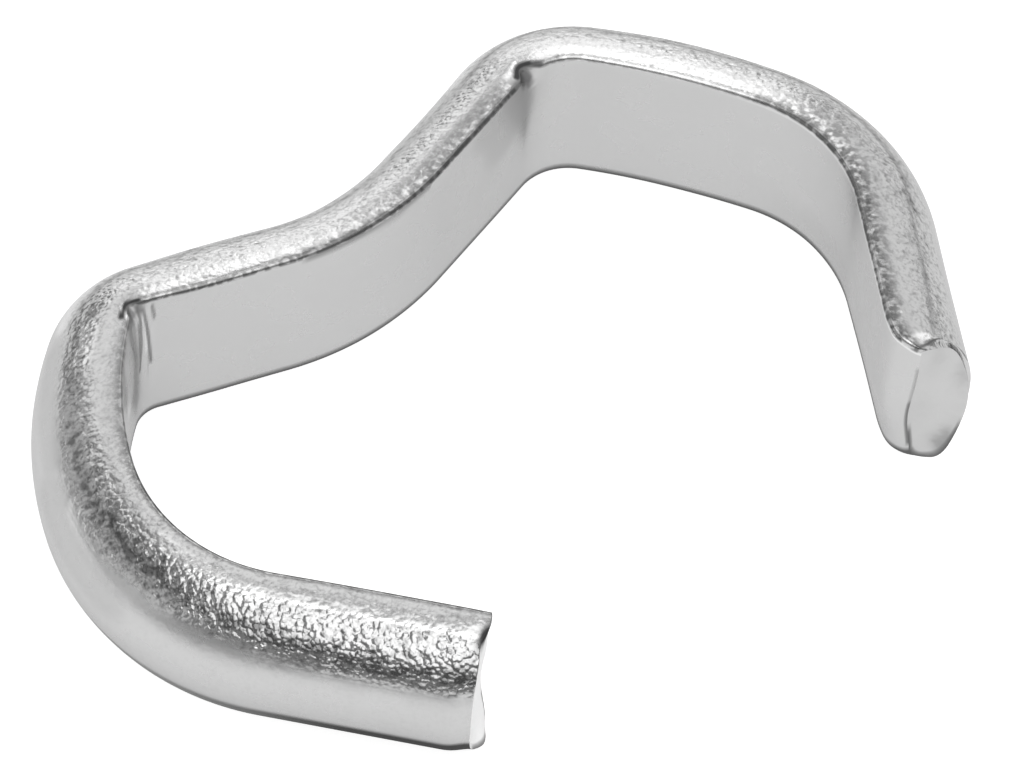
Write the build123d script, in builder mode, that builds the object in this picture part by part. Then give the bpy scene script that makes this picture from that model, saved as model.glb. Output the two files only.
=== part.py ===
"""Bungee cord clip: one length of half-round steel wire, bent into two open loops.

The wire's flat side faces into both loops, where the cord lies, and its crown faces out.
All bends are in one plane. The clip lies on the edge of its wire, and +Z is up, along the
width of the flat side. The origin is under the middle of the clip, on the surface it lies on.
"""
from build123d import *
import os
from math import radians, tan

# ---- Driving dimensions, in millimetres and degrees --------------------------------------

# The half-round wire
wire_width = 5.5          # across the flat side
wire_thickness = 2.7      # from the flat side to the crown
edge_round = 0.15         # where the flat side meets the crown

# The line of the flat side, from the end of the round loop to the end of the square loop.
# A bend's radius is that of the flat side, and all but the waist turn right, into a loop.
start_heading = 171       # the way the first run goes, turned left from +X

round_arm_length = 6.2
round_bend_angle, round_bend_radius = 63.5, 5.4
round_side_angle, round_side_radius = 26.5, 10.5
round_corner_angle, round_corner_radius = 57.5, 1.0
round_floor_length = 4.1

waist_angle, waist_radius = 33.5, 10.0
flank_length = 4.4

square_corner_angle, square_corner_radius = 64.5, 1.8
square_floor_angle, square_floor_radius = 13, 24.0
square_bend_angle, square_bend_radius = 58, 4.65
square_arm_length = 6.0   # on the lower side, where the leaning cut leaves it longest

# The sheared ends. The blade rolls the flat side over at the square loop's end, which it
# also cuts leaning, and the crown at the round loop's end.
flat_roll_length, flat_roll_depth = 1.8, 0.85
crown_roll_length, crown_roll_depth = 1.0, 0.2
square_end_lean = 8       # how far the cut leans back from upright, as an angle

cut_clearance = 1.0       # how far a cutting shape reaches past the wire


# ---- The bent wire -----------------------------------------------------------------------


def run(before, length):
    """A straight run that carries on from the length before it."""
    return Line(before @ 1, before @ 1 + (before % 1) * length)


def bend(before, angle, radius):
    """A bend that carries on from the length before it. A positive angle turns left."""
    return JernArc(before @ 1, before % 1, radius, angle)


def rolled_corner(corner, way_out, length, depth):
    """The face of what the blade rolls off a corner of the wire's end.

    The way out is along the wire, past its end, and the wire's thickness is to the left of
    it. What is left is a quarter of an ellipse, from length back along the side to depth up
    the end.
    """
    with BuildSketch(Plane(origin=corner, x_dir=way_out, z_dir=(0, 0, 1))) as taken_off:
        with BuildLine():
            quarter = EllipticalCenterArc(
                (-length, depth), length, depth, start_angle=-90, arc_size=90
            )
            Polyline(
                quarter @ 1,
                (cut_clearance, depth),
                (cut_clearance, -cut_clearance),
                (-length, -cut_clearance),
                quarter @ 0,
            )
        make_face()
    return taken_off.sketch


with BuildPart() as cord_clip:
    with BuildLine():
        round_arm = PolarLine((0, 0), round_arm_length, start_heading)
        round_bend = bend(round_arm, -round_bend_angle, round_bend_radius)
        round_side = bend(round_bend, -round_side_angle, round_side_radius)
        round_corner = bend(round_side, -round_corner_angle, round_corner_radius)
        round_floor = run(round_corner, round_floor_length)
        waist = bend(round_floor, waist_angle, waist_radius)
        flank = run(waist, flank_length)
        square_corner = bend(flank, -square_corner_angle, square_corner_radius)
        square_floor = bend(square_corner, -square_floor_angle, square_floor_radius)
        square_bend = bend(square_floor, -square_bend_angle, square_bend_radius)
        square_arm = run(square_bend, square_arm_length)

    # The wire's section stands across the line, with its crown to the left of the way ahead.
    way_ahead = round_arm % 0
    crown_way = way_ahead.rotate(Axis.Z, 90)
    with BuildSketch(Plane(origin=round_arm @ 0, x_dir=crown_way, z_dir=way_ahead)):
        with BuildLine():
            crown = ThreePointArc((0, 0), (wire_thickness, wire_width / 2), (0, wire_width))
            Line(crown @ 0, crown @ 1)
        make_face()
        fillet(vertices(), edge_round)
    sweep()

    # The square loop's end: the flat side is rolled over, and the cut leans back
    flat_roll = rolled_corner(square_arm @ 1, square_arm % 1, flat_roll_length, flat_roll_depth)
    extrude(flat_roll, amount=wire_width, mode=Mode.SUBTRACT)
    way_out = square_arm % 1
    with BuildSketch(Plane(origin=square_arm @ 1, x_dir=way_out, z_dir=way_out.rotate(Axis.Z, -90))):
        lean_back = wire_width * tan(radians(square_end_lean))
        with BuildLine():
            Polyline(
                (0, 0),
                (cut_clearance, 0),
                (cut_clearance, wire_width),
                (-lean_back, wire_width),
                close=True,
            )
        make_face()
    extrude(amount=wire_thickness, both=True, mode=Mode.SUBTRACT)

    # The round loop's end: the crown is rolled over
    crown_end = round_arm @ 0 + crown_way * wire_thickness
    crown_roll = rolled_corner(crown_end, -way_ahead, crown_roll_length, crown_roll_depth)
    extrude(crown_roll, amount=wire_width, mode=Mode.SUBTRACT)

# The origin goes under the middle of the clip, on the surface it lies on.
extent = cord_clip.part.bounding_box()
middle = extent.center()
cord_clip.part.move(Location((-middle.X, -middle.Y, -extent.min.Z)))

cord_clip.part.label = "cord_clip"
os.makedirs("parts", exist_ok=True)
export_step(cord_clip.part, "parts/cord_clip.step")
print("cord_clip", cord_clip.part.bounding_box())
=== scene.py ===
# %% [markdown]
# # A bungee cord clip of zinc-plated half-round wire
#
# The clip is one length of steel wire with a D-shaped section, bent in one plane into two
# open loops and sheared off at both ends. An elastic cord lies against the flat side of
# each loop, and pliers close the loops around it.
#
# This lesson makes its visible surface in Blender. The solid model comes first, as a fixed
# frame, and the lesson's surface takes its place without changing its size. All lengths
# are in metres, +Z is up, and the clip lies on the edge of its wire at z = 0.

import bpy
import numpy as np
from mathutils import Matrix, Vector


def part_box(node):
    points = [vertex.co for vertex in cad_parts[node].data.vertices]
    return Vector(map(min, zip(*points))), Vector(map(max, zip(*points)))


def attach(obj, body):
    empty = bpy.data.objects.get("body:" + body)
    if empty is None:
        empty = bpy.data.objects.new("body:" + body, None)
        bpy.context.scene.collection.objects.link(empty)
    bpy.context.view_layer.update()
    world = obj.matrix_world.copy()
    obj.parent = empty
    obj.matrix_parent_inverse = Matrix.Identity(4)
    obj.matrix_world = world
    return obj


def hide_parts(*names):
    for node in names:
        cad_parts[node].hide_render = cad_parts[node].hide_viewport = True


MM = 0.001
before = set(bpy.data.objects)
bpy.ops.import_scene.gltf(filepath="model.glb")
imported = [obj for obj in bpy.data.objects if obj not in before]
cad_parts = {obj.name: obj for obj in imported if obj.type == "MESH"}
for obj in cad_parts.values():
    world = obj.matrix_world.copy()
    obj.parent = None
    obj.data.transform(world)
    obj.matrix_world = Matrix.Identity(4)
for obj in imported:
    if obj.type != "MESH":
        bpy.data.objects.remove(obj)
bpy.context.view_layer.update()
low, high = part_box("cord_clip")
print("solid clip, mm:", [round(side / MM, 2) for side in high - low])

# %% [markdown]
# ## The line of the wire
#
# A bent wire is best described the way a bending machine makes it: feed a length, turn by
# an angle at some radius, feed again. Drawing the same outline with points would need
# dozens of them, and every tight bend would show flats. So the line is worked out from its
# curvature: the heading is the running sum of curvature, and the place is the running sum
# of the heading. The values are those of the solid model, and a right turn is positive,
# because all bends but one turn right, into a loop.

# %% Name every run and bend
WIRE_WIDTH = 5.5 * MM
WIRE_THICKNESS = 2.7 * MM
START_HEADING = np.radians(171)  # turned left from +X
LINE_START = (-0.2275 * MM, -10.1222 * MM)

STRAIGHT = 0.0
BENDS = {  # name: (turn in degrees, radius of the flat side) or (STRAIGHT, length)
    "round_arm": (STRAIGHT, 6.2 * MM),
    "round_bend": (63.5, 5.4 * MM),
    "round_side": (26.5, 10.5 * MM),
    "round_corner": (57.5, 1.0 * MM),
    "round_floor": (STRAIGHT, 4.1 * MM),
    "waist": (-33.5, 10.0 * MM),
    "flank": (STRAIGHT, 4.4 * MM),
    "square_corner": (64.5, 1.8 * MM),
    "square_floor": (13, 24.0 * MM),
    "square_bend": (58, 4.65 * MM),
    "square_arm": (STRAIGHT, 6.0 * MM),
}


def bend_lengths(bends):
    """The length along the flat side of each run and bend: a bend's is its angle times its radius."""
    return {
        name: size if turn == STRAIGHT else np.radians(abs(turn)) * size
        for name, (turn, size) in bends.items()
    }


LENGTHS = bend_lengths(BENDS)
ENDS = dict(zip(LENGTHS, np.cumsum(list(LENGTHS.values()))))
STARTS = {name: ENDS[name] - LENGTHS[name] for name in LENGTHS}
MIDDLES = {name: (STARTS[name] + ENDS[name]) / 2 for name in LENGTHS}
WIRE_LENGTH = ENDS["square_arm"]
print("length of the flat side, mm:", round(WIRE_LENGTH / MM, 2))

# %% Work out the line from its curvature
FINE = 0.01 * MM  # the step of the sums


def curvature(s):
    """One over the radius where the wire bends, and nothing where it is straight.

    It is below zero in a right turn, because headings are turned left from +X.
    """
    k = np.zeros_like(s)
    for name, (turn, radius) in BENDS.items():
        if turn != STRAIGHT:
            k[(s >= STARTS[name]) & (s < ENDS[name])] = -np.sign(turn) / radius
    return k


def bent_line(stations):
    """Place, way ahead and way to the crown at each station along the flat side.

    Heading is the sum of curvature over length, and place is the sum of (cos, sin) of the
    heading over length. The crown is to the left of the way ahead.
    """
    s = np.arange(0, WIRE_LENGTH + FINE, FINE)
    middle_s = s[:-1] + FINE / 2
    heading = START_HEADING + np.cumsum(curvature(middle_s)) * FINE
    heading -= curvature(middle_s) * FINE / 2  # at the middle of each step, not at its end
    steps = np.stack([np.cos(heading), np.sin(heading)], axis=1) * FINE
    place = np.vstack([[0.0, 0.0], np.cumsum(steps, axis=0)])
    turn = np.interp(stations, middle_s, heading)
    xy = np.stack([np.interp(stations, s, place[:, axis]) for axis in (0, 1)], axis=1)
    ahead = np.stack([np.cos(turn), np.sin(turn)], axis=1)
    crown_way = np.stack([-ahead[:, 1], ahead[:, 0]], axis=1)
    return xy, ahead, crown_way


# %% [markdown]
# The stations along the wire need not be even. A tight bend, a crease or a sheared end
# needs them close together, and a straight run does not. A density that is one over the
# wanted spacing, summed and read backwards, gives stations that thin out by themselves.

# %% Choose the stations
COARSE_STEP = 0.13 * MM
CLOSE_STEP = 0.04 * MM
CLOSE_REACH = {  # middle of a detail: how far it reaches each way
    0.0: 0.7 * MM,
    MIDDLES["round_corner"]: 1.1 * MM,
    STARTS["square_corner"] + 0.3 * MM: 1.2 * MM,
    WIRE_LENGTH: 1.9 * MM,
}
ROLL_CLOSE = 0.2 * MM  # the last stretch, where the rolled flat side is steepest
ROLL_STATIONS = 11


def choose_stations():
    """Stations whose spacing is close near each detail, closest where the flat side rolls over."""
    s = np.arange(0, WIRE_LENGTH + FINE / 2, FINE)
    nearness = np.zeros_like(s)
    for middle, reach in CLOSE_REACH.items():
        nearness = np.maximum(nearness, np.exp(-(((s - middle) / reach) ** 4)))
    step = COARSE_STEP + (CLOSE_STEP - COARSE_STEP) * nearness
    count = np.concatenate([[0.0], np.cumsum(FINE / step[1:])])
    even = np.interp(np.linspace(0, count[-1], int(count[-1]) + 1), count, s)
    last = WIRE_LENGTH - ROLL_CLOSE * np.linspace(1, 0, ROLL_STATIONS) ** 2
    return np.concatenate([even[even < last[0] - FINE], last])


stations = choose_stations()
to_far_end = WIRE_LENGTH - stations
print("stations:", len(stations))

# %% [markdown]
# ## How the section changes along the wire
#
# A perfect sweep would keep one section all the way, and it looks drawn by a machine. In
# real wire, bending squeezes the thickness by a few hundredths, more where the roller
# pressed, and shearing pulls the material over the edge of the cut. So the thickness is
# named at the middle of each run and bend, and smooth steps join those values. The blade
# also rolls the flat side over at the square loop's end, along a quarter of an ellipse.

# %% Size the section at every station
THICKNESS_SHARE = {
    "round_arm": 1.0,
    "round_bend": 1.0,
    "round_side": 1.034,
    "round_corner": 1.013,
    "round_floor": 1.027,
    "waist": 0.981,
    "flank": 0.955,
    "square_corner": 0.985,
    "square_floor": 1.024,
    "square_bend": 1.0,
    "square_arm": 0.98,
}
FLAT_ROLL_LENGTH, FLAT_ROLL_DEPTH = 1.8 * MM, 0.85 * MM
NEAR_SQUEEZE, NEAR_SQUEEZE_REACH = 0.2 * MM, 1.0 * MM
FAR_SQUEEZE, FAR_SQUEEZE_REACH = 0.15 * MM, 0.9 * MM


def smooth_step(x):
    """Zero below 0, one above 1, and 3x² − 2x³ between."""
    x = np.clip(x, 0, 1)
    return x * x * (3 - 2 * x)


def joined(s, values):
    """Values at the middles of the named runs and bends, joined by smooth steps."""
    places = np.array([MIDDLES[name] for name in values])
    heights = np.array(list(values.values()))
    before = np.clip(np.searchsorted(places, s) - 1, 0, len(places) - 2)
    way = (s - places[before]) / (places[before + 1] - places[before])
    return heights[before] + (heights[before + 1] - heights[before]) * smooth_step(way)


def rolled_flat(distance):
    """How far out the flat side is, at a distance from the far end: a quarter of an ellipse."""
    way = np.clip(1 - distance / FLAT_ROLL_LENGTH, 0, 1)
    return FLAT_ROLL_DEPTH * (1 - np.sqrt(1 - way**2))


thickness = WIRE_THICKNESS * joined(stations, THICKNESS_SHARE)
thickness -= NEAR_SQUEEZE * (1 - smooth_step(stations / NEAR_SQUEEZE_REACH)) ** 2
thickness -= FAR_SQUEEZE * (1 - smooth_step(to_far_end / FAR_SQUEEZE_REACH)) ** 2
flat_at = rolled_flat(to_far_end)
print("thickness, mm:", round(thickness.min() / MM, 2), "to", round(thickness.max() / MM, 2))

# %% [markdown]
# ## The section of the wire
#
# The section is a D: a flat side, a crown that is an arc through both edges of the flat
# side, and a small round where they meet. Every part of it is an arc or a line, so it is
# worked out exactly, for all stations at once: each row below is one D.

# %% Work out the D at every station
EDGE_ROUND = 0.15 * MM
FLAT_POINTS = 24
ROUND_POINTS = 7
CROWN_POINTS = 72


def d_sections(thickness, flat_at):
    """Distances out and up of the points of each D, from the bottom of the flat side up and back.

    The crown's radius is (width² / 4 + thickness²) / (2 thickness), and its centre is that
    much less than the thickness out. The centre of an edge round is EDGE_ROUND out from the
    flat side, and the crown's radius less EDGE_ROUND from the crown's centre.
    """
    thickness, flat_at = thickness[:, None], flat_at[:, None]
    radius = (WIRE_WIDTH**2 / 4 + thickness**2) / (2 * thickness)
    centre = thickness - radius
    round_centre = flat_at + EDGE_ROUND
    rise = np.sqrt((radius - EDGE_ROUND) ** 2 - (round_centre - centre) ** 2)
    meet = np.arctan2(rise, round_centre - centre)
    share = np.linspace(-1, 1, FLAT_POINTS)[None]
    flat = [flat_at + 0 * share, rise * share]
    turn = np.pi + (meet - np.pi) * np.linspace(0, 1, ROUND_POINTS + 1)[None, 1:]
    top = [round_centre + EDGE_ROUND * np.cos(turn), rise + EDGE_ROUND * np.sin(turn)]
    sweep = meet * np.linspace(1, -1, CROWN_POINTS + 1)[None, 1:]
    crown = [centre + radius * np.cos(sweep), radius * np.sin(sweep)]
    bottom = [top[0][:, ::-1][:, 1:], -top[1][:, ::-1][:, 1:]]
    return [np.hstack(parts) for parts in zip(flat, top, crown, bottom)]


out, up = d_sections(thickness, flat_at)
ROUND_START, CROWN_START = FLAT_POINTS, FLAT_POINTS + ROUND_POINTS
CROWN_END = CROWN_START + CROWN_POINTS
columns = out.shape[1]
print("points round each D:", columns)

# %% [markdown]
# ## Edges that are set back
#
# The two edges of the flat side are the sharpest lines of the clip, so the eye follows
# them. They aren't even: where the bending tool rubbed, an edge lies up to a fifth of a
# millimetre nearer to the crown. A bevel would round both edges alike, all the way. So each
# edge has a set-back that is named at some runs and bends, and fades over the flat side.

# %% Set the edges of the flat side back
UPPER_SET_BACK = {
    "round_arm": 0.04 * MM,
    "round_bend": 0.1 * MM,
    "round_side": 0.07 * MM,
    "round_corner": 0.1 * MM,
    "round_floor": 0.0,
    "square_arm": 0.0,
}
LOWER_SET_BACK = {  # below zero, the edge stands proud
    "round_corner": 0.03 * MM,
    "round_floor": 0.0,
    "waist": -0.05 * MM,
    "flank": -0.05 * MM,
    "square_floor": 0.0,
    "square_bend": 0.1 * MM,
    "square_arm": 0.17 * MM,
}
UPPER_FADE_START = 3.5 * MM  # a height on the flat side, as the next one is
LOWER_FADE_START = 2.0 * MM
SET_BACK_FADE = 1.8 * MM
FLAT_REACH = 0.9 * MM  # how far out from the flat side its forms still show
half_width = WIRE_WIDTH / 2
height = up + half_width
near_flat = np.clip(1 - out / FLAT_REACH, 0, 1)

high_on_flat = smooth_step((height - UPPER_FADE_START) / SET_BACK_FADE)
low_on_flat = smooth_step((LOWER_FADE_START - height) / SET_BACK_FADE)
set_back = joined(stations, UPPER_SET_BACK)[:, None] * high_on_flat
set_back = set_back + joined(stations, LOWER_SET_BACK)[:, None] * low_on_flat
out = out + set_back * near_flat
print("largest set-back, mm:", round(set_back.max() / MM, 2))

# %% [markdown]
# The roll at the square loop's end isn't even either. It is shallower in the middle of the
# width, so the flat side bulges there. The bulge is a bell over the height, and it grows
# from where the roll begins to the end of the wire.

# %% Bulge the rolled end
ROLL_BULGE = 0.17 * MM
BULGE_HEIGHT, BULGE_REACH = 2.1 * MM, 1.3 * MM
rolled_share = 1 - smooth_step(to_far_end[:, None] / FLAT_ROLL_LENGTH)
bulge = ROLL_BULGE * np.exp(-(((height - BULGE_HEIGHT) / BULGE_REACH) ** 2)) * rolled_share
out[:, :FLAT_POINTS] -= bulge[:, :FLAT_POINTS]
print("bulge, mm:", round(bulge[:, :FLAT_POINTS].max() / MM, 2))

# %% [markdown]
# ## The pinched corners
#
# At the two tight corners the flat side is on the inside of the bend, where the steel has
# nowhere to go. Its upper edge folds in on itself and leaves a small dark notch, and the
# flat side wrinkles. A bump in the material would darken them too, but it would leave the
# edge straight. So both are real shape: a notch pushes the edge towards the crown and down.

# %% Fold the notches
NOTCHES = [  # (station, reach along, push towards the crown, push down, height it fades over)
    (STARTS["round_corner"] + 0.40 * MM, 0.24 * MM, 0.30 * MM, 0.10 * MM, 0.7 * MM),
    (STARTS["square_corner"] + 0.18 * MM, 0.30 * MM, 0.36 * MM, 0.12 * MM, 0.7 * MM),
]
s_grid = np.repeat(stations[:, None], columns, axis=1)
notch_share = np.zeros_like(out)
for place, reach, push, drop, fade in NOTCHES:
    near_place = np.exp(-(((s_grid - place) / reach) ** 2))
    from_top = smooth_step(1 - (WIRE_WIDTH - height) / fade)
    here = near_place * from_top * near_flat
    out = out + push * here
    up = up - drop * here * smooth_step((height - half_width) / half_width)
    notch_share = np.maximum(notch_share, here)
print("notched points:", int((notch_share > 0.5).sum()))

# %% [markdown]
# A wrinkle is a shallow groove that wanders a little as it runs down the flat side. Its
# place along the corner is read off at a few heights, and across it is a bell. It begins
# sharply at its head and runs out slowly at its foot.

# %% Press the wrinkles
WRINKLES = [  # (depth, width, heights from the head down, places along the round corner)
    (0.020 * MM, 0.06 * MM, (5.4, 4.9, 4.3), (0.06, 0.02, -0.02)),
    (0.030 * MM, 0.05 * MM, (5.4, 4.2, 3.0), (0.47, 0.42, 0.35)),
    (0.035 * MM, 0.05 * MM, (5.4, 3.4, 1.5), (0.52, 0.75, 0.71)),
    (0.020 * MM, 0.04 * MM, (5.4, 5.0, 4.5), (0.86, 0.89, 0.92)),
]
HEAD_FADE, FOOT_FADE = 0.15, 0.6  # in millimetres, as the heights and places are
height_mm = height / MM
on_flat = near_flat > 0.95  # as far as the edge rounds
wrinkles = np.zeros_like(out)
for depth, width, heights, places_along in WRINKLES:
    line = STARTS["round_corner"] + np.interp(-height_mm, -np.array(heights), places_along) * MM
    head = smooth_step((heights[0] - height_mm) / HEAD_FADE)
    foot = smooth_step((height_mm - heights[-1]) / FOOT_FADE)
    wrinkles += depth * np.exp(-(((s_grid - line) / width) ** 2)) * head * foot * on_flat
out = out + wrinkles
print("deepest wrinkle, mm:", round(wrinkles.max() / MM, 3))

# %% [markdown]
# ## The sheared ends
#
# A shear doesn't saw: one blade rolls the wire over as it enters, the steel is polished
# for a way, and then it tears, with a burr where the tear comes out. So the face of a cut
# isn't a plane. Here it is a height field over the section: how far past the end of the
# wire each point (out, up) of the face lies. Named bumps make the lip, the nick, the burr
# and the shoulder, and a ripple makes the torn steel uneven all over.

# %% Describe the two cuts
RIPPLE_LEVELS, RIPPLE_WAYS = 5, 3


def bump_at(out, up, at_out, at_up, reach):
    """A round bump over the section, one high, at (at_out, at_up)."""
    return np.exp(-(((out - at_out) ** 2 + (up - at_up) ** 2) / reach**2))


def ripple(out, up, seed, finest):
    """Unevenness between about −1 and 1: waves across the section, each level finer and weaker.

    It is a third of the sum of sin(2π across / length + phase) / (2 + level). At each level
    the waves go a few ways across, and their length is half that of the level before.
    """
    waves = np.random.default_rng(seed)
    total = np.zeros_like(out)
    for level in range(RIPPLE_LEVELS):
        length = finest * 2.0 ** (RIPPLE_LEVELS - 1 - level)
        for angle in waves.uniform(0, 2 * np.pi, RIPPLE_WAYS):
            phase = waves.uniform(0, 2 * np.pi)
            across = out * np.cos(angle) + up * np.sin(angle)
            total += np.sin(across * 2 * np.pi / length + phase) / (2 + level)
    return total / RIPPLE_WAYS


def near_cut(out, up):
    """How far the round loop's cut lies past the end: a lip low on the crown and a nick near the top."""
    lip = 0.28 * MM * bump_at(out, up, 1.3 * MM, -2.6 * MM, 0.9 * MM)
    tip = 0.12 * MM * bump_at(out, up, 0.35 * MM, 2.6 * MM, 0.45 * MM)
    rounded = 0.1 * MM * bump_at(out, up, -0.1 * MM, 2.8 * MM, 0.15 * MM)
    nick = 0.05 * MM * bump_at(out, up, 1.1 * MM, 2.4 * MM, 0.3 * MM)
    hollow = 0.16 * MM * bump_at(out, up, 0.0, -0.8 * MM, 1.4 * MM)
    return lip + tip - rounded - nick - hollow + 0.018 * MM * ripple(out, up, 3, 0.2 * MM)


def far_cut(out, up):
    """How far the square loop's cut lies past the end: a ridge, a leaning face and a burr.

    The ridge is where the rolled flat side meets the cut. From there to the crown the face
    leans more and more, so that the crown is cut shorter on its upper side.
    """
    past_ridge = smooth_step((out - FLAT_ROLL_DEPTH) / (1.5 * MM))
    height_share = up / half_width
    ridge = -0.30 * MM - 0.05 * MM * height_share
    lean = -0.11 * MM - 0.72 * MM * height_share
    burr = 0.42 * MM * bump_at(out, up, 1.7 * MM, -2.3 * MM, 0.8 * MM)
    shoulder = 0.15 * MM * bump_at(out, up, 2.3 * MM, 1.2 * MM, 0.8 * MM)
    return ridge + past_ridge * lean + burr - shoulder + 0.02 * MM * ripple(out, up, 5, 0.22 * MM)


print("lip, mm:", round(float(near_cut(1.3 * MM, -2.6 * MM)) / MM, 2))

# %% [markdown]
# The rows of points near an end slide along the wire with the face of its cut, so that the
# wire's side runs up to the torn rim with no gap. The face itself is more rows of the same
# grid: each is the rim drawn in towards the middle. They crowd near the rim, where the face
# has its lip and its burr.

# %% Slide the rows near the ends and fill in the faces
SLIDE_REACH = 1.1 * MM
FACE_RINGS = 14
RING_CROWDING = 0.9


def fade_from(distance):
    """One at the end, and nothing SLIDE_REACH away from it, with no kink."""
    return 1 - smooth_step(distance / SLIDE_REACH)


slide = -near_cut(out, up) * fade_from(s_grid) + far_cut(out, up) * fade_from(WIRE_LENGTH - s_grid)


def face_rings(out, up, face, way, flat_from):
    """Rows of points over a cut, from its rim inwards.

    Each is the rim drawn towards the middle, by the cosine of an even angle to the power of
    RING_CROWDING.
    """
    shrink = np.cos(np.linspace(0, np.pi / 2, FACE_RINGS + 2)[1:-1])[:, None] ** RING_CROWDING
    middle_out, middle_up = (out.max() + flat_from) / 2, 0.0
    ring_out = middle_out + (out - middle_out) * shrink
    ring_up = middle_up + (up - middle_up) * shrink
    return ring_out, ring_up, way * face(ring_out, ring_up)


near_rings = face_rings(out[0], up[0], near_cut, -1, 0.0)
far_rings = face_rings(out[-1], up[-1], far_cut, 1, FLAT_ROLL_DEPTH)
out = np.vstack([near_rings[0][::-1], out, far_rings[0]])
up = np.vstack([near_rings[1][::-1], up, far_rings[1]])
slide = np.vstack([near_rings[2][::-1], slide, far_rings[2]])
row_stations = np.concatenate([np.zeros(FACE_RINGS), stations, np.full(FACE_RINGS, WIRE_LENGTH)])
print("rows:", len(row_stations), "longest slide, mm:", round(np.abs(slide).max() / MM, 2))

# %% [markdown]
# ## Carry the sections along the line
#
# Each row puts its D across the line: out goes along the way to the crown, up goes along
# +Z, and slide goes along the wire.

# %% Make the swept grid


def swept_grid(rows, out, up, slide):
    """Places on the wire: the line, plus out along the crown's way, plus slide along the line."""
    xy, ahead, crown_way = bent_line(rows)
    across = crown_way[:, None, :] * out[..., None]
    past = ahead[:, None, :] * slide[..., None]
    grid = np.empty(out.shape + (3,))
    grid[..., :2] = xy[:, None, :] + across + past
    grid[..., 2] = up
    return grid


places = swept_grid(row_stations, out, up, slide)
print("grid:", places.shape)

# %% [markdown]
# Blender's own Curve bevel would sweep a section too, but one section for the whole line,
# with flat ends. A grid of points can be anything, and joining it is the same for every
# tube: number the points row by row, shift those numbers by one row or one column, and each
# face is four numbers side by side. The last column joins the first, so there is no seam.

# %% Turn the grid into one closed mesh


def closed_tube(name, grid):
    """A mesh from a grid whose columns go round: quads along it, and a fan over each end."""
    rows, columns = grid.shape[:2]
    index = np.arange(rows * columns).reshape(rows, columns)
    right = np.roll(index, -1, axis=1)
    quads = np.stack([index[:-1], index[1:], right[1:], right[:-1]], axis=-1).reshape(-1, 4)
    vertices = np.vstack([grid.reshape(-1, 3), grid[0].mean(axis=0), grid[-1].mean(axis=0)])
    near_middle = np.full(columns, rows * columns)
    near_fan = np.stack([near_middle, index[0], right[0]], axis=1)
    far_fan = np.stack([near_middle + 1, right[-1], index[-1]], axis=1)
    mesh = bpy.data.meshes.new(name)
    mesh.from_pydata(vertices.tolist(), [], quads.tolist() + near_fan.tolist() + far_fan.tolist())
    mesh.shade_smooth()
    made = bpy.data.objects.new(name, mesh)
    bpy.context.scene.collection.objects.link(made)
    return made


places += np.array([LINE_START[0], LINE_START[1], (low.z + high.z) / 2])
wire = closed_tube("bent_wire", places)
print("faces:", len(wire.data.polygons))

# %% [markdown]
# ## What the finish needs to know
#
# Zinc looks different on the crown, on the flat side, along the edges and on the cuts. The
# mesh knows where those are, so it carries them as attributes, one number for each vertex,
# and the material reads them. They are worked out on the unrolled wire, from the place
# along it and the distance past an edge of its flat side. Masks painted by hand would have
# to be painted again whenever a bend changes.

# %% Measure round the wire
rows = len(row_stations)
whole = np.ones((rows, columns))
on_side = np.ones((rows, 1))  # one on the side of the wire, and nothing on its cuts
on_side[:FACE_RINGS] = 0
on_side[-FACE_RINGS:] = 0

middle_row = len(stations) // 2 + FACE_RINGS
loop = np.vstack([places[middle_row], places[middle_row][:1]])
steps = np.linalg.norm(np.diff(loop, axis=0), axis=1)
around = np.concatenate([[0.0], np.cumsum(steps)])
edge_up = around[ROUND_START + ROUND_POINTS // 2 - 1]  # the middle of the edge round
edge_down = around[CROWN_END + ROUND_POINTS // 2 - 1]
past_upper = (around[:-1] - edge_up) / MM  # past the flat side's upper edge, over the crown
from_edge = np.minimum(past_upper, (edge_down - around[:-1]) / MM)
past_lower = np.abs(around[:-1] - edge_down)
past_lower = np.minimum(past_lower, around[-1] - past_lower) / MM
print("round the wire, mm:", round(around[-1] / MM, 2))

# %% [markdown]
# Barrel plating leaves the crown grainy, and bending rubs the grain away again, more in
# some bends than in others. A dark band runs along the crown just before the grain ends: it
# has more pits than elsewhere, and a painted shade lies over it for the dark stripe that the
# crown mirrors there. As with the thickness, each effect is named at the middle of runs and
# bends and joined by smooth steps, because nothing changes at once.

# %% Name the grain of the crown
GRAIN = {  # how strong it is
    "round_arm": 0.66,
    "round_bend": 0.66,
    "round_side": 0.45,
    "round_corner": 0.5,
    "round_floor": 0.6,
    "waist": 0.45,
    "flank": 0.4,
    "square_corner": 0.45,
    "square_floor": 0.6,
    "square_bend": 0.5,
    "square_arm": 0.45,
}
BAND = {  # how dark the band of painted shade is
    "round_arm": 1.0,
    "round_bend": 0.9,
    "round_side": 0.65,
    "round_corner": 0.4,
    "round_floor": 0.5,
    "waist": 0.35,
    "flank": 0.4,
    "square_floor": 0.7,
    "square_bend": 0.6,
    "square_arm": 0.3,
}
GRAIN_REACH = {  # how far past the edge it goes, in millimetres
    "round_arm": 2.4,
    "round_bend": 1.95,
    "round_side": 1.8,
    "round_corner": 2.1,
    "round_floor": 2.4,
}
BAND_AT = {  # how far past the edge the dark band's middle is
    "round_arm": 2.2,
    "round_bend": 1.55,
    "round_side": 1.55,
    "round_corner": 1.9,
    "round_floor": 2.0,
}
print("strongest grain:", max(GRAIN, key=GRAIN.get))
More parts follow.
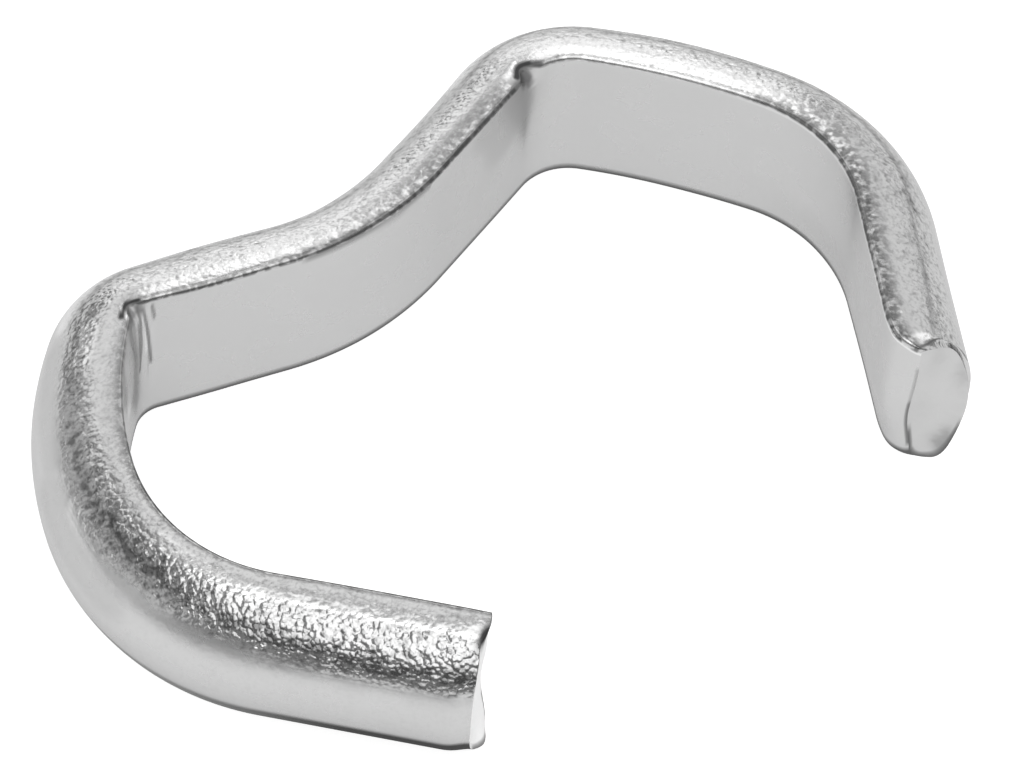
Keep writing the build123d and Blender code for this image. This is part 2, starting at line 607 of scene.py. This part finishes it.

# %% [markdown]
# A dark line of painted shade runs along the upper edge of the flat side, narrow at the round
# loop and wide along the flank and the square bend. It is chipped, and some stretches are
# nearly gone. A thin bright line, a painted highlight, runs along the round arm, on the crown,
# and along the square arm, just below the edge. Painted shade darkens the underside of the
# round arm's crown, where it mirrors the clip's shadow on the floor.

# %% Name the lines along the edge
EDGE_DARKNESS = {  # how dark the line is
    "round_arm": 0.95,
    "round_bend": 0.9,
    "round_side": 0.5,
    "round_corner": 0.5,
    "round_floor": 0.65,
    "waist": 0.65,
    "flank": 0.65,
    "square_corner": 0.5,
    "square_floor": 0.12,
    "square_bend": 0.7,
    "square_arm": 0.75,
}
EDGE_CHIPS = {  # how much of the dark line is chipped away
    "round_arm": 0.25,
    "round_bend": 0.4,
    "round_side": 0.8,
    "round_corner": 0.9,
    "round_floor": 1.0,
    "waist": 0.7,
    "flank": 0.6,
    "square_corner": 0.9,
    "square_arm": 0.9,
}
EDGE_WIDTH = {  # in millimetres
    "round_arm": 0.24,
    "round_bend": 0.24,
    "round_side": 0.3,
    "round_corner": 0.3,
    "round_floor": 0.18,
    "waist": 0.62,
    "flank": 0.9,
    "square_corner": 0.3,
    "square_floor": 0.2,
    "square_bend": 1.15,
    "square_arm": 0.65,
}
BRIGHT_LINE = {  # how bright the thin painted highlight is
    "round_arm": 1.0,
    "round_bend": 0.7,
    "round_side": 0.0,
    "square_floor": 0.0,
    "square_bend": 0.4,
    "square_arm": 0.55,
}
# How far past the edge the bright line is, in millimetres, and how much painted shade lies on the
# underside
BRIGHT_LINE_AT = {"round_arm": 0.84, "round_bend": 0.84, "square_floor": -0.18, "square_arm": -0.18}
UNDER_SHADE = {"round_arm": 0.9, "round_bend": 0.5, "round_side": 0.0, "square_arm": 0.0}
print("widest dark line:", max(EDGE_WIDTH, key=EDGE_WIDTH.get))

# %% Spread the finish over the wire
STRIP_WIDTH, STRIP_GRAIN = 0.7, 0.5  # next to the edge, in millimetres, and its share of the grain
GRAIN_BEYOND = 0.07  # the share of the grain that is left beyond its reach
BAND_REACH = 0.28  # from the band's middle to where about a third of it is left
LOWER_EDGE_SHADE_REACH, LOWER_EDGE_SHADE_FADE, LOWER_EDGE_SHADE_DARKNESS = 0.38, 0.14, 0.75  # painted shade along the lower edge, where the wire stands on the floor


def along(values):
    """A named value at every row of the grid, as a column."""
    return joined(row_stations, values)[:, None]


# What a smooth step is divided by is the distance that it fades over
past_strip = smooth_step((from_edge - STRIP_WIDTH) / 0.4)
shoulder = smooth_step((from_edge + 0.05) / 0.25) * (STRIP_GRAIN + (1 - STRIP_GRAIN) * past_strip)
beyond = smooth_step((from_edge[None] - along(GRAIN_REACH)) / 0.5)
reached = 1 - (1 - GRAIN_BEYOND) * beyond
crown_share = shoulder[None] * reached * along(GRAIN) * on_side
from_band = from_edge[None] - along(BAND_AT)
band_share = np.exp(-((from_band / BAND_REACH) ** 2)) * along(BAND) * on_side
lower_edge_shade_share = smooth_step((LOWER_EDGE_SHADE_REACH - past_lower) / LOWER_EDGE_SHADE_FADE)[None] * on_side
# Painted shade on the underside of the round arm's crown, where it mirrors the clip's shadow on the
# floor
underside = smooth_step((-0.5 * MM - up) / (0.3 * MM)) * (out > 0.5 * MM)
underside_shade_share = underside * along(UNDER_SHADE) * on_side
print("grain, least and most:", round(crown_share.min(), 2), round(crown_share.max(), 2))

# %% [markdown]
# ## Marks in one place
#
# A few marks are in one place only: painted shade in the dark notches, in the wrinkles and
# in a faint dark line along the back of the crown, painted highlights, and rubbed patches.
# They are drawn as strokes on the unrolled wire: a stroke is a line of points, each a place
# along the wire and a distance past the upper edge of the flat side, in millimetres. The
# crown is at positive distances and the flat side at negative ones. An image texture could
# hold such marks too, but strokes stay sharp from near by, and they can be read and moved.

# %% Draw the marks
DARK_STROKES = [  # (darkness, half width, points)
    # painted shade in the notch of the square loop's corner
    (0.55, 0.12, [(31.95, 0.08), (32.2, 0.2)]),
    (1.0, 0.15, [(32.22, 0.2), (32.5, 0.22), (32.75, 0.2)]),
    (0.8, 0.12, [(32.75, 0.2), (33.0, 0.06)]),
    # painted shade under the edge at the waist
    (0.4, 0.12, [(22.8, -0.12), (24.0, -0.15), (26.0, -0.2), (27.3, -0.12)]),
    # painted shade in the notch and the wrinkles of the round loop's corner
    (1.0, 0.10, [(17.08, 0.32), (17.3, 0.22), (17.62, 0.12)]),
    (0.35, 0.05, [(16.95, 0.0), (16.75, -0.5), (16.98, -1.6)]),
    (0.5, 0.05, [(17.59, -0.15), (17.51, -1.0), (17.46, -1.9), (17.35, -2.8)]),
    (0.5, 0.05, [(17.66, -0.2), (17.74, -1.2), (17.78, -2.0), (17.82, -2.8)]),
    (0.4, 0.05, [(17.94, -0.3), (17.98, -0.8)]),
    # the crown's torn edge at the square loop's end
    (0.85, 0.06, [(50.45, 0.25), (50.3, 0.8), (49.9, 1.48)]),
    # painted shade along the back of the crown
    (0.22, 0.1, [(17.1, 1.94), (18.0, 1.85), (20.3, 1.85), (24.0, 1.85), (26.3, 1.9)]),
    (0.12, 0.2, [(26.3, 1.9), (27.9, 2.0), (29.6, 1.94), (31.3, 1.84)]),
    (0.3, 0.08, [(31.3, 1.84), (32.6, 1.9), (33.4, 2.0)]),
    (0.35, 0.08, [(33.4, 2.0), (34.6, 1.68), (37.6, 1.6), (40.3, 1.85), (42.7, 1.85), (43.6, 1.88)]),
    (0.35, 0.08, [(43.6, 1.88), (44.9, 1.72), (47.2, 1.68), (48.9, 1.5), (49.8, 1.28)]),
    # soft dark patches: painted shade on the flat side before the square loop's corner, and darker
    # patches on the crown
    (0.1, 0.7, [(30.3, -0.5), (30.8, -1.2), (31.1, -2.0)]),
    (0.1, 0.6, [(9.8, 3.2), (11.2, 3.1), (12.4, 3.0)]),
    (0.1, 0.5, [(13.2, 2.5), (16.2, 2.5)]),
    # the ridge between the rolled flat side and the square loop's cut, where the wire ends
    (0.25, 0.006, [(50.568, -1.0), (50.568, -2.6)]),
    (0.6, 0.006, [(50.568, -2.6), (50.568, -5.0)]),
]
BRIGHT_STROKES = [  # (brightness, half width, points)
    # rubbed patches on the crown
    (0.6, 0.25, [(6.6, 0.9), (7.6, 0.78), (9.4, 0.7)]),
    (0.45, 0.3, [(6.1, 2.5), (7.0, 2.5), (8.2, 2.4), (11.5, 2.25)]),
    (0.6, 0.3, [(15.7, 1.35), (16.7, 1.35)]),
    (0.5, 0.35, [(17.3, 2.6), (24.0, 2.5)]),
    (0.5, 0.35, [(31.6, 2.6), (33.0, 2.6), (36.0, 2.4), (39.0, 2.5)]),
    # a painted highlight along the edge of the square loop's floor, and painted light on the flat side
    # before the round loop's corner
    (0.8, 0.15, [(33.9, 0.1), (39.4, 0.1)]),
    (1.0, 0.6, [(16.2, -0.6), (16.2, -2.6)]),
    # painted glints beside the square loop's notch
    (0.9, 0.10, [(32.05, 0.55), (32.2, 0.5)]),
    (0.9, 0.08, [(32.5, 0.5), (32.62, 0.6)]),
    # the burnished crown at the square loop's end
    (1.0, 0.24, [(50.3, 0.35), (49.9, 0.75), (49.8, 1.2)]),
    (0.8, 0.07, [(48.9, 0.47), (49.1, 0.46)]),
    # a painted highlight on the ridge between two wrinkles
    (0.4, 0.05, [(17.64, -0.3), (17.66, -1.2), (17.66, -2.2)]),
]


def stroke(points, half):
    """One on a line of points, and nothing from one and a half times the half width away.

    The nearest place on a piece of the line is a share of the way along it: the way to the
    point, measured along the piece, over the piece's length, and held between 0 and 1.
    """
    s_mm, past_mm = row_stations[:, None] / MM, past_upper[None]
    gap = np.full(out.shape, np.inf)
    for (s_from, past_from), (s_to, past_to) in zip(points[:-1], points[1:]):
        s_step, past_step = s_to - s_from, past_to - past_from
        share = (s_mm - s_from) * s_step + (past_mm - past_from) * past_step
        share = np.clip(share / (s_step**2 + past_step**2), 0, 1)
        s_gap = s_mm - s_from - share * s_step
        past_gap = past_mm - past_from - share * past_step
        gap = np.minimum(gap, np.hypot(s_gap, past_gap))
    return smooth_step(1.5 - gap / half)


def drawn(strokes):
    """The strongest of the strokes at every point, on the side of the wire and not on its cuts."""
    marks = [strength * stroke(points, half) for strength, half, points in strokes]
    return np.max(marks, axis=0) * on_side


dark_share = np.maximum(underside_shade_share, drawn(DARK_STROKES))
bright_share = drawn(BRIGHT_STROKES)
print("marked points, dark and bright:", int((dark_share > 0.5).sum()), int((bright_share > 0.5).sum()))

# %% [markdown]
# Three more marks of painted shade follow the shape. The notches are a little darker than
# what is around them. The lower part of each cut has a dark rim, a few rings wide, where the
# torn steel turns in. And the nick in the round loop's cut is black, because no light gets
# into it.

# %% Darken what the shape hides
NOTCH_DARKNESS = 0.2
RIM_DARKNESS = (0.7, 0.7, 0.6, 0.4)  # ring by ring, from the rim of a cut inwards
NICK_DARKNESS, NICK_REACH = 1.4, 0.15 * MM
rings = len(RIM_DARKNESS)
low_on_wire = smooth_step((-1.2 * MM - up[middle_row]) / (0.6 * MM))
rim = np.array(RIM_DARKNESS)[:, None] * low_on_wire
dark_share[FACE_RINGS:-FACE_RINGS] += NOTCH_DARKNESS * notch_share
dark_share[-FACE_RINGS : -FACE_RINGS + rings] = rim
dark_share[FACE_RINGS - rings : FACE_RINGS] = rim[::-1]
near_end = np.exp(-((row_stations / NICK_REACH) ** 2))[:, None]
dark_share += NICK_DARKNESS * near_end * bump_at(out, up, 0.8 * MM, 2.55 * MM, 0.36 * MM)
dark_share = np.clip(np.maximum(dark_share, LOWER_EDGE_SHADE_DARKNESS * lower_edge_shade_share), 0, 1)
bright_share[:FACE_RINGS] = 1.0  # the round loop's cut is fresh steel
print("darkest:", round(dark_share.max(), 2))

# %% Write the attributes
mesh = wire.data


def point_attribute(name, grid_values):
    """One number for each vertex: the grid's, and that of the nearest row for each fan's middle."""
    values = np.concatenate([grid_values.ravel(), [grid_values[0].mean(), grid_values[-1].mean()]])
    attribute = mesh.attributes.new(name, "FLOAT", "POINT")
    attribute.data.foreach_set("value", values.astype(np.float32))


point_attribute("past_upper", past_upper[None] * whole)
point_attribute("crown_share", crown_share)
point_attribute("band_share", band_share)
point_attribute("edge_darkness", along(EDGE_DARKNESS) * on_side * whole)
point_attribute("edge_width", along(EDGE_WIDTH) * whole)
point_attribute("edge_chips", along(EDGE_CHIPS) * whole)
point_attribute("line_share", along(BRIGHT_LINE) * on_side * whole)
point_attribute("line_at", along(BRIGHT_LINE_AT) * whole)
point_attribute("dark_share", dark_share)
point_attribute("bright_share", bright_share)
point_attribute("cut_share", (1 - on_side) * whole)
print("attributes:", [attribute.name for attribute in mesh.attributes])

# %% [markdown]
# ## Zinc
#
# Barrel plating leaves a dull grey coat of fine crystals. On the flat side the bending
# tool has burnished it, so it is smooth. On the crown it keeps its grain, and each grain
# tilts the surface by a few degrees, which shows wherever the light changes quickly across
# the crown. So the grain is a bump first of all, which every lamp brings out in its own way.
# Only the pits between the crystals and some specks have a darker colour, and a painted shade
# darkens the crown's dark band.
#
# The grain and the chipped line of painted shade are node groups with named inputs, so that
# another plated part can have them too. Both are cut out of noise: a steep gain turns its
# soft greys into spots.

# %% Make helpers for the nodes


def new_group(name, inputs, outputs):
    """An empty node group with the named sockets, and its input and output nodes."""
    group = bpy.data.node_groups.new(name, "ShaderNodeTree")
    for label, kind in inputs:
        group.interface.new_socket(label, in_out="INPUT", socket_type=kind)
    for label, kind in outputs:
        group.interface.new_socket(label, in_out="OUTPUT", socket_type=kind)
    return group, group.nodes.new("NodeGroupInput"), group.nodes.new("NodeGroupOutput")


def math_node(tree, operation, first, second=None, third=None):
    """A math node whose inputs are sockets or plain numbers."""
    node = tree.nodes.new("ShaderNodeMath")
    node.operation = operation
    for socket, value in zip(node.inputs, (first, second, third)):
        if value is None:
            continue
        if isinstance(value, (int, float)):
            socket.default_value = value
        else:
            tree.links.new(value, socket)
    return node.outputs[0]


def clamp_node(tree, value):
    """A value held between 0 and 1."""
    node = tree.nodes.new("ShaderNodeClamp")
    tree.links.new(value, node.inputs["Value"])
    return node.outputs[0]


def contrast_node(tree, value, gain, offset):
    """A value times gain plus offset, held between 0 and 1."""
    return clamp_node(tree, math_node(tree, "MULTIPLY_ADD", value, gain, offset))


def noise_node(tree, vector, scale, detail=1.0):
    """A noise texture read at vector, and its grey output."""
    node = tree.nodes.new("ShaderNodeTexNoise")
    node.inputs["Scale"].default_value = scale
    node.inputs["Detail"].default_value = detail
    tree.links.new(vector, node.inputs["Vector"])
    return node.outputs["Fac"]


VECTOR, NUMBER = "NodeSocketVector", "NodeSocketFloat"
print("node groups so far:", len(bpy.data.node_groups))

# %% Make a group for the grain
GRAINS_PER_METRE = 6500
LUMP_HEIGHT = 0.9
SMOOTH_HEIGHT, CUT_HEIGHT = 0.02, 0.15  # on the flat side and on a cut, where the crown's is 1
grain, grain_in, grain_out = new_group(
    "crystal_grain",
    [("Vector", VECTOR), ("Crown", NUMBER), ("Cut", NUMBER), ("Band", NUMBER)],
    [("Height", NUMBER), ("Pits and shade", NUMBER)],
)
grain_at, crown = grain_in.outputs["Vector"], grain_in.outputs["Crown"]
cut, band = grain_in.outputs["Cut"], grain_in.outputs["Band"]
cells = grain.nodes.new("ShaderNodeTexVoronoi")
cells.feature = "SMOOTH_F1"
cells.inputs["Scale"].default_value = GRAINS_PER_METRE
cells.inputs["Smoothness"].default_value = 0.4
grain.links.new(grain_at, cells.inputs["Vector"])

# The height is soft lumps, plus a dome for each crystal: its distance from the middle of
# the crystal, squared, times a depth that is below zero in most places
dome = math_node(grain, "MULTIPLY", cells.outputs["Distance"], cells.outputs["Distance"])
lumps = noise_node(grain, grain_at, GRAINS_PER_METRE * 0.5, 2.0)
uneven = noise_node(grain, grain_at, GRAINS_PER_METRE * 0.23)
dome_depth = math_node(grain, "MULTIPLY_ADD", uneven, -2.2, 0.2)
dome_depth = math_node(grain, "MULTIPLY", dome_depth, crown)
relief = math_node(grain, "MULTIPLY", dome, dome_depth)
relief = math_node(grain, "MULTIPLY_ADD", lumps, LUMP_HEIGHT, relief)
where_rough = math_node(grain, "MULTIPLY_ADD", crown, 1 - SMOOTH_HEIGHT, SMOOTH_HEIGHT)
on_cut = math_node(grain, "MULTIPLY", cut, CUT_HEIGHT)
where_rough = math_node(grain, "MAXIMUM", where_rough, on_cut)
grain.links.new(math_node(grain, "MULTIPLY", relief, where_rough), grain_out.inputs["Height"])
print("nodes for the height of the grain:", len(grain.nodes))

# %% Add the pits and the band's painted shade to the grain
BAND_PITS, BAND_SHADE = 1.2, 0.25  # more pits in the dark band, and an even painted shade over it
SPECK_DARKNESS = 0.4

# Pits and specks are where a fine noise is low
crystals = noise_node(grain, grain_at, GRAINS_PER_METRE * 0.6)
pits_and_shade = math_node(grain, "MULTIPLY_ADD", crystals, -5.0, 2.2)
pits_and_shade = math_node(grain, "MULTIPLY_ADD", band, BAND_PITS, pits_and_shade)
pits_and_shade = clamp_node(grain, math_node(grain, "MULTIPLY", pits_and_shade, crown))
pits_and_shade = math_node(grain, "MULTIPLY_ADD", band, BAND_SHADE, pits_and_shade)
specks = contrast_node(grain, noise_node(grain, grain_at, GRAINS_PER_METRE * 1.3), -5.0, 2.6)
grained_part = clamp_node(grain, math_node(grain, "MULTIPLY", crown, 2.5))
specks = math_node(grain, "MULTIPLY", specks, grained_part)
pits_and_shade = math_node(grain, "MULTIPLY_ADD", specks, SPECK_DARKNESS, pits_and_shade)
grain.links.new(clamp_node(grain, pits_and_shade), grain_out.inputs["Pits and shade"])
print("group:", grain.name)

# %% [markdown]
# The dark line along the edge is painted shade. It begins steeply at the edge and falls off
# over its width, so its mask is the product of a rise and a fall. Two noises chip it: a fine
# one for single chips and a coarse one for stretches where most of it is gone. Marks that
# were drawn, painted shade among them, come in as they are, and the darker of the two wins.

# %% Make a group for the chipped line of painted shade along an edge
CHIPS_PER_METRE, STRETCHES_PER_METRE = 4600, 1900
LINE_FALL = 0.7  # the share of its width that the line fades over
shade_line, shade_line_in, shade_line_out = new_group(
    "chipped_line",
    [
        ("Vector", VECTOR),
        ("Past", NUMBER),
        ("Width", NUMBER),
        ("Darkness", NUMBER),
        ("Chips", NUMBER),
        ("Dark", NUMBER),
    ],
    [("Factor", NUMBER)],
)
shade_line_at, past, width = (shade_line_in.outputs[name] for name in ("Vector", "Past", "Width"))
rising = contrast_node(shade_line, past, 14.0, 1.8)
to_go = math_node(shade_line, "SUBTRACT", width, past)
falling = math_node(shade_line, "DIVIDE", to_go, math_node(shade_line, "MULTIPLY", width, LINE_FALL))
line = math_node(shade_line, "MULTIPLY", rising, clamp_node(shade_line, falling))
chips = noise_node(shade_line, shade_line_at, CHIPS_PER_METRE)
stretches = noise_node(shade_line, shade_line_at, STRETCHES_PER_METRE)
lost = math_node(shade_line, "MULTIPLY_ADD", chips, -6.0, 3.9)
lost = contrast_node(shade_line, stretches, -1.2, lost)
lost = math_node(shade_line, "MULTIPLY", lost, shade_line_in.outputs["Chips"])
ragged = math_node(shade_line, "MULTIPLY", math_node(shade_line, "SUBTRACT", 1.0, lost), line)
ragged = math_node(shade_line, "MULTIPLY", ragged, shade_line_in.outputs["Darkness"])
darkest = math_node(shade_line, "MAXIMUM", ragged, shade_line_in.outputs["Dark"])
shade_line.links.new(clamp_node(shade_line, darkest), shade_line_out.inputs["Factor"])
print("group:", shade_line.name)

# %% [markdown]
# The material reads the attributes, feeds both groups and mixes four greys: plain zinc,
# rubbed zinc with painted highlights, pits with the band's painted shade, and a dark grey for
# painted shade and grime. Zinc is metal, but the dark marks aren't, so they aren't metallic
# and don't shine. That keeps the painted shade dark where the surface is seen at a low angle,
# where any metal turns into a mirror. The roughness drifts a little, because an even one
# looks like plastic.

# %% Start the zinc
zinc = bpy.data.materials.new("zinc_plated_steel")
zinc.use_nodes = True
tree = zinc.node_tree
shader = tree.nodes["Principled BSDF"]
shader.inputs["Specular IOR Level"].default_value = 0.0
shader.inputs["Specular Tint"].default_value = (0.75, 0.75, 0.75, 1)
object_at = tree.nodes.new("ShaderNodeTexCoord").outputs["Object"]


def attribute_node(name):
    """The grey value of one of the mesh's attributes."""
    node = tree.nodes.new("ShaderNodeAttribute")
    node.attribute_name = name
    return node.outputs["Fac"]


def placed_group(group, values):
    """A node group in the zinc, with its named inputs linked to values."""
    node = tree.nodes.new("ShaderNodeGroup")
    node.node_tree = group
    for name, value in values.items():
        tree.links.new(value, node.inputs[name])
    return node


crown_value, cut_value = attribute_node("crown_share"), attribute_node("cut_share")
dark_value, past_value = attribute_node("dark_share"), attribute_node("past_upper")
chipped = placed_group(
    shade_line,
    {
        "Vector": object_at,
        "Past": past_value,
        "Width": attribute_node("edge_width"),
        "Darkness": attribute_node("edge_darkness"),
        "Chips": attribute_node("edge_chips"),
        "Dark": dark_value,
    },
)
grained = placed_group(
    grain,
    {
        "Vector": object_at,
        "Crown": crown_value,
        "Cut": cut_value,
        "Band": attribute_node("band_share"),
    },
)
print("placed:", chipped.node_tree.name, grained.node_tree.name)

# %% Make the roughness and the bright line
CLOUDS_PER_METRE, DRIFTS_PER_METRE = 700, 350
ROUGHNESS, ROUGHNESS_DRIFT = 0.22, 0.12
CROWN_SMOOTHER, CUT_ROUGHER = 0.1, 0.12
cloud = noise_node(tree, object_at, CLOUDS_PER_METRE, 3.0)
rough = math_node(tree, "MULTIPLY_ADD", cloud, ROUGHNESS_DRIFT, ROUGHNESS)
rough = math_node(tree, "MULTIPLY_ADD", crown_value, -CROWN_SMOOTHER, rough)
rough = math_node(tree, "MULTIPLY_ADD", cut_value, CUT_ROUGHER, rough)
tree.links.new(rough, shader.inputs["Roughness"])

# The bright line is a painted highlight that drifts a little across the crown
drift = noise_node(tree, object_at, DRIFTS_PER_METRE)
line_at = math_node(tree, "MULTIPLY_ADD", drift, 0.12, attribute_node("line_at"))
line_gap = math_node(tree, "ABSOLUTE", math_node(tree, "SUBTRACT", past_value, line_at))
bright_line = contrast_node(tree, line_gap, -14.0, 1.3)
bright_line = math_node(tree, "MULTIPLY", bright_line, attribute_node("line_share"))
shining = math_node(tree, "MAXIMUM", bright_line, attribute_node("bright_share"))
print("least roughness:", round(ROUGHNESS - CROWN_SMOOTHER, 2))

# %% Mix the greys and raise the grain
# The rubbed grey also paints highlights, the pit grey the band's painted shade, and the darkest grey
# painted shade and grime
ZINC_GREY, HIGHLIGHT_AND_RUBBED_GREY, PIT_AND_SHADE_GREY, SHADE_AND_GRIME_GREY = 0.58, 0.95, 0.2, 0.07
GRAIN_HEIGHT = 0.08 * MM


def mixed(factor, first, second):
    """A colour between two greys or sockets, by a factor."""
    node = tree.nodes.new("ShaderNodeMix")
    node.data_type = "RGBA"
    tree.links.new(factor, node.inputs["Factor"])
    for socket, value in ((node.inputs["A"], first), (node.inputs["B"], second)):
        if isinstance(value, float):
            socket.default_value = (value, value, value, 1)
        else:
            tree.links.new(value, socket)
    return node.outputs["Result"]


highlighted_and_rubbed = mixed(shining, ZINC_GREY, HIGHLIGHT_AND_RUBBED_GREY)
pitted_and_shaded = mixed(grained.outputs["Pits and shade"], highlighted_and_rubbed, PIT_AND_SHADE_GREY)
shaded_and_grimy = mixed(chipped.outputs["Factor"], pitted_and_shaded, SHADE_AND_GRIME_GREY)
tree.links.new(shaded_and_grimy, shader.inputs["Base Color"])
# Painted shade and grime are not metallic, so they stay dark at a low angle
tree.links.new(math_node(tree, "SUBTRACT", 1.0, dark_value), shader.inputs["Metallic"])
bump = tree.nodes.new("ShaderNodeBump")
bump.inputs["Strength"].default_value = 1.0
bump.inputs["Distance"].default_value = GRAIN_HEIGHT
tree.links.new(grained.outputs["Height"], bump.inputs["Height"])
tree.links.new(bump.outputs["Normal"], shader.inputs["Normal"])
mesh.materials.append(zinc)
print("material:", zinc.name)

# %% Let the wire stand for the solid clip
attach(wire, "root")
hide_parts("cord_clip")
print("shown in place of cord_clip:", wire.name)

# %% [markdown]
# ## Floor, lamps and camera
#
# Metal shows mostly what stands around it, so the surroundings matter as much as the
# material. The floor is pale paper. To look white it glows, but only for rays that come
# from the camera, a reflection or a window, as the Light Path node tells. So it lights
# nothing, and it still takes the clip's shadow.

# %% Lay the floor
PAPER_GREY = 0.6
MIRRORED_GLOW, SEEN_GLOW = 0.6, 0.25  # in a reflection, and what the camera sees on top of it
bpy.ops.mesh.primitive_plane_add(size=4)
floor = bpy.context.object
floor.name = "floor"
paper = bpy.data.materials.new("white_paper")
paper.use_nodes = True
tree = paper.node_tree
shader = tree.nodes["Principled BSDF"]
shader.inputs["Base Color"].default_value = (PAPER_GREY, PAPER_GREY, PAPER_GREY, 1)
shader.inputs["Roughness"].default_value = 0.9
shader.inputs["Emission Color"].default_value = (1, 1, 1, 1)
rays = tree.nodes.new("ShaderNodeLightPath")
seen = math_node(tree, "MAXIMUM", rays.outputs["Is Camera Ray"], rays.outputs["Is Glossy Ray"])
seen = math_node(tree, "MAXIMUM", seen, rays.outputs["Is Transmission Ray"])
glow = math_node(tree, "MULTIPLY", rays.outputs["Is Camera Ray"], SEEN_GLOW)
glow = math_node(tree, "MULTIPLY_ADD", seen, MIRRORED_GLOW, glow)
tree.links.new(glow, shader.inputs["Emission Strength"])
floor.data.materials.append(paper)
print("floor:", floor.name)

# %% [markdown]
# Seen from above, the flat side mirrors the floor alone, and the crown mirrors all the rest,
# from the top lamp down to the low lamp behind. Large lamps give wide soft bands, and the
# gaps between them give the crown its darker stripes. A lamp's power says little about how
# bright it looks in a mirror, because a large lamp spreads it. So the lamps are given by
# their brightness, and their power is worked out.

# %% Hang the lamps
LAMP_DISTANCE = 0.5


def soft_lamp(name, azimuth, elevation, wide, high, brightness):
    """A rectangular lamp that faces the clip from a direction: azimuth is turned left from +X.

    Its power is brightness times pi times its area, so lamps of the same brightness look
    equally bright in a mirror, whatever their size.
    """
    azimuth, elevation = np.radians(azimuth), np.radians(elevation)
    level = LAMP_DISTANCE * np.cos(elevation)
    place = Vector((level * np.cos(azimuth), level * np.sin(azimuth), LAMP_DISTANCE * np.sin(elevation)))
    lamp = bpy.data.lights.new(name, "AREA")
    lamp.shape = "RECTANGLE"
    lamp.size, lamp.size_y = wide, high
    lamp.energy = brightness * np.pi * wide * high
    made = bpy.data.objects.new(name, lamp)
    made.location = place
    made.rotation_euler = place.to_track_quat("Z", "Y").to_euler()
    bpy.context.scene.collection.objects.link(made)


LAMPS = [  # (name, azimuth, elevation, width, height, brightness)
    ("top_lamp", 276, 64, 0.46, 0.5, 1.6),
    ("high_back_lamp", 95, 70, 0.5, 0.2, 1.0),
    ("back_lamp", 89, 36, 0.24, 0.2, 2.1),
    ("low_back_lamp", 96, 12, 0.4, 0.2, 1.3),
    ("left_back_lamp", 128, 36, 0.22, 0.26, 0.95),
    ("right_lamp", 50, 24, 0.34, 0.34, 0.78),
    ("left_lamp", 160, 22, 0.3, 0.3, 0.42),
    ("left_front_lamp", 205, 26, 0.3, 0.3, 0.38),
]
for lamp_values in LAMPS:
    soft_lamp(*lamp_values)

STUDIO_GREY = 0.25
world = bpy.data.worlds.new("studio")
bpy.context.scene.world = world
world.use_nodes = True
background = world.node_tree.nodes["Background"]
background.inputs["Color"].default_value = (STUDIO_GREY, STUDIO_GREY, STUDIO_GREY, 1)
print("lamps:", [lamp.name for lamp in bpy.data.lights])

# %% [markdown]
# The camera looks down at the clip with a long lens from near by, so that both loops fill
# the picture and little of it is lost to perspective. It is placed by what it looks at, how
# steeply and from how far, which is easier to change than a place and three angles. A small
# roll turns the picture as the clip lies.

# %% Place the camera
CAMERA_DISTANCE = 189.257 * MM
CAMERA_ELEVATION = np.radians(54)
CAMERA_TURN = np.radians(-0.32)
CAMERA_ROLL = np.radians(3.25)
LENS, SENSOR = 227.0473, 36.0  # in millimetres of a real camera
TARGET = Vector((-0.075 * MM, -0.062 * MM, 2.48 * MM))
camera_data = bpy.data.cameras.new("camera")
camera_data.sensor_width = SENSOR
camera_data.lens = LENS
camera_data.clip_start = 1 * MM
camera = bpy.data.objects.new("camera", camera_data)
bpy.context.scene.collection.objects.link(camera)
bpy.context.scene.camera = camera
forward = Vector((0, np.cos(CAMERA_ELEVATION), -np.sin(CAMERA_ELEVATION)))
forward.rotate(Matrix.Rotation(CAMERA_TURN, 3, "Z"))
camera.location = TARGET - forward * CAMERA_DISTANCE
look = forward.to_track_quat("-Z", "Y").to_matrix()
camera.rotation_euler = (look @ Matrix.Rotation(CAMERA_ROLL, 3, "Z")).to_euler()
bpy.context.scene.view_settings.view_transform = "Standard"
print("camera at, mm:", [round(value / MM, 1) for value in camera.location])
